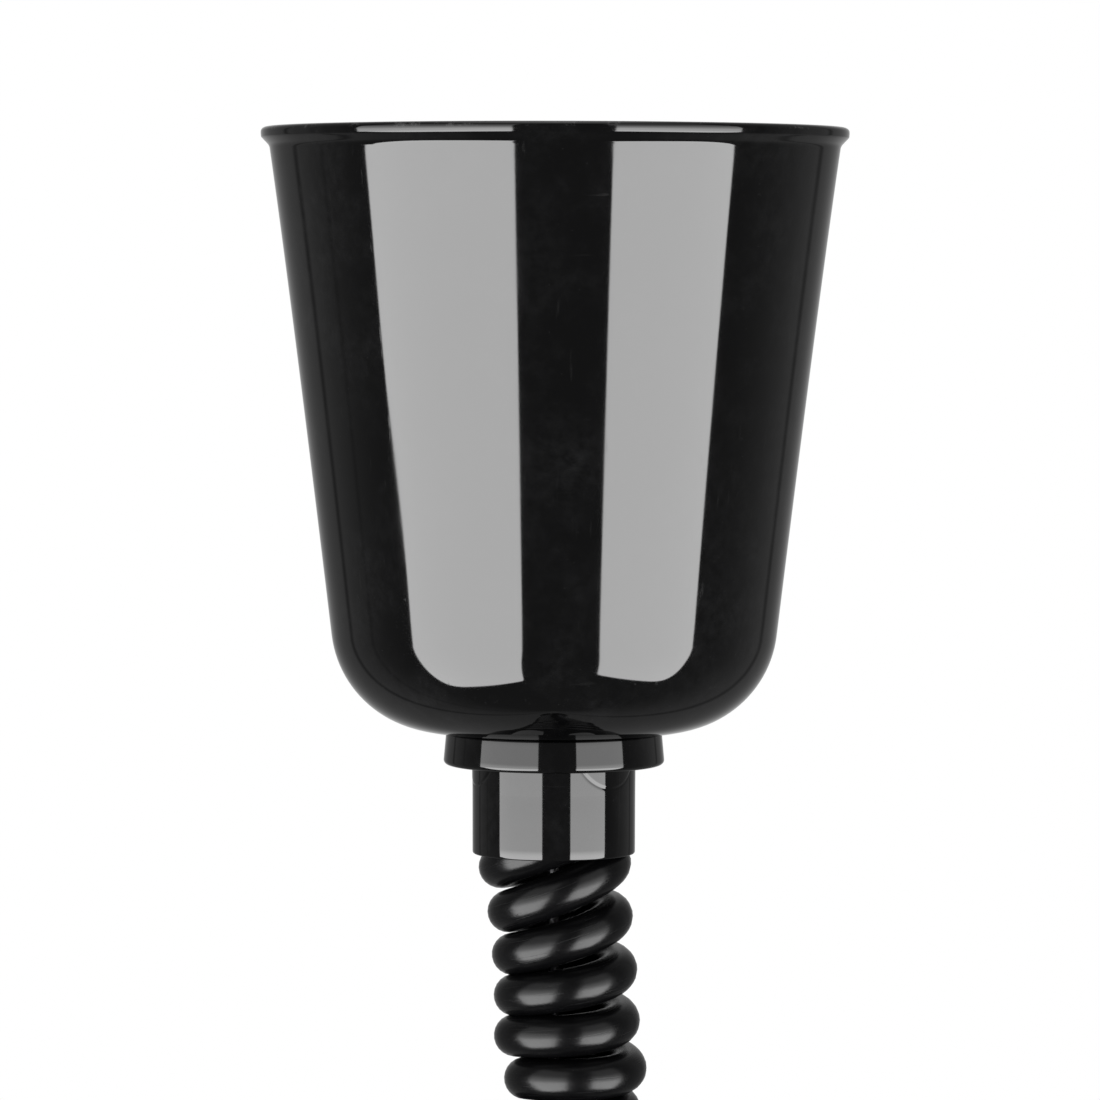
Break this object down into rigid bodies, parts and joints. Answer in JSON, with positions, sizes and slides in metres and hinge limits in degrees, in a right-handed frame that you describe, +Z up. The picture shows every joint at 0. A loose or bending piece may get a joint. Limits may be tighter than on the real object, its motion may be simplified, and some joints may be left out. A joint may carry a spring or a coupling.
{
  "type": "pull-down pendant ceiling canopy with spring reel",
  "caption": "Deep glossy black ceiling canopy with a moulded collar, a spring rope reel inside and a coiled flex that stretches as the lamp end is pulled down.",
  "frame": {"origin": "centre of the ceiling plate's top face, on the rope's axis, in the plane of the ceiling", "axes": "+Z up into the ceiling, along the rope; -Y towards the side the picture shows; the plate's screw slots lie along X"},
  "size_m": [0.1, 0.1, 0.3714],
  "materials": {
    "gloss_black": "polished, moulded",
    "black_flex": "satin PVC sheath",
    "core_brown": "satin",
    "core_blue": "satin",
    "core_green_yellow": "satin, striped",
    "white_nylon": "moulded",
    "grey_nylon": "moulded, fine grain",
    "zinc_steel": "bright zinc plated",
    "spring_steel": "blued strip",
    "brass": "turned"
  },
  "bodies": {
    "ceiling_unit": {"ceiling_plate": "zinc_steel", "weld_nut": "zinc_steel", "hook": "zinc_steel", "earth_screw": "brass", "terminal_block": "white_nylon", "terminal_screw_1": "brass", "terminal_screw_2": "brass", "terminal_screw_3": "brass", "terminal_screw_4": "brass", "terminal_screw_5": "brass", "terminal_screw_6": "brass", "cord_clamp": "grey_nylon", "clamp_screw_left": "zinc_steel", "clamp_screw_right": "zinc_steel", "core_live": "core_brown", "core_earth": "core_green_yellow", "core_neutral": "core_blue", "flex_tail": "black_flex", "coiled_flex": "black_flex", "steel_rope": "zinc_steel", "reel_housing_front": "grey_nylon", "reel_housing_back": "grey_nylon", "reel_screw_1": "zinc_steel", "reel_screw_2": "zinc_steel", "reel_screw_3": "zinc_steel", "arbor_lock_nut": "zinc_steel", "rope_nipple": "brass", "rope_guide": "white_nylon"},
    "drum": {"rope_drum": "white_nylon", "rope_winding": "zinc_steel", "drum_bush": "brass", "spring_cover": "zinc_steel", "power_spring": "spring_steel"},
    "arbor": {"tension_arbor": "zinc_steel"},
    "canopy_cup": {"canopy": "gloss_black", "collar": "gloss_black"},
    "lamp_end": {"lower_collar": "gloss_black", "lower_nipple": "brass", "lower_washer": "zinc_steel", "lower_nut": "brass", "anchor_washer": "zinc_steel", "rope_ferrule": "zinc_steel", "rope_stop": "zinc_steel"}
  },
  "joints": [
    {"name": "pull_down", "type": "slide", "parent": "ceiling_unit", "child": "lamp_end", "axis": [0, 0, -1], "range_m": [0, 0.75], "stiffness_N_per_m": 4, "springref_m": -0.6, "deforming": ["coiled_flex", "steel_rope"]},
    {"name": "drum_spin", "type": "hinge", "parent": "ceiling_unit", "child": "drum", "pos_m": [0.014, 0, -0.062], "axis": [0, 1, 0], "range_deg": [-5, 3080]},
    {"name": "tension_adjust", "type": "hinge", "parent": "ceiling_unit", "child": "arbor", "pos_m": [0.014, 0, -0.062], "axis": [0, 1, 0], "range_deg": [0, 1080]},
    {"name": "canopy_drop", "type": "slide", "parent": "ceiling_unit", "child": "canopy_cup", "axis": [0, 0, -1], "range_m": [0, 0.09]}
  ],
  "couplings": [
    {"joint": "drum_spin", "follows": "pull_down", "rad_per_m": 71.429}
  ]
}
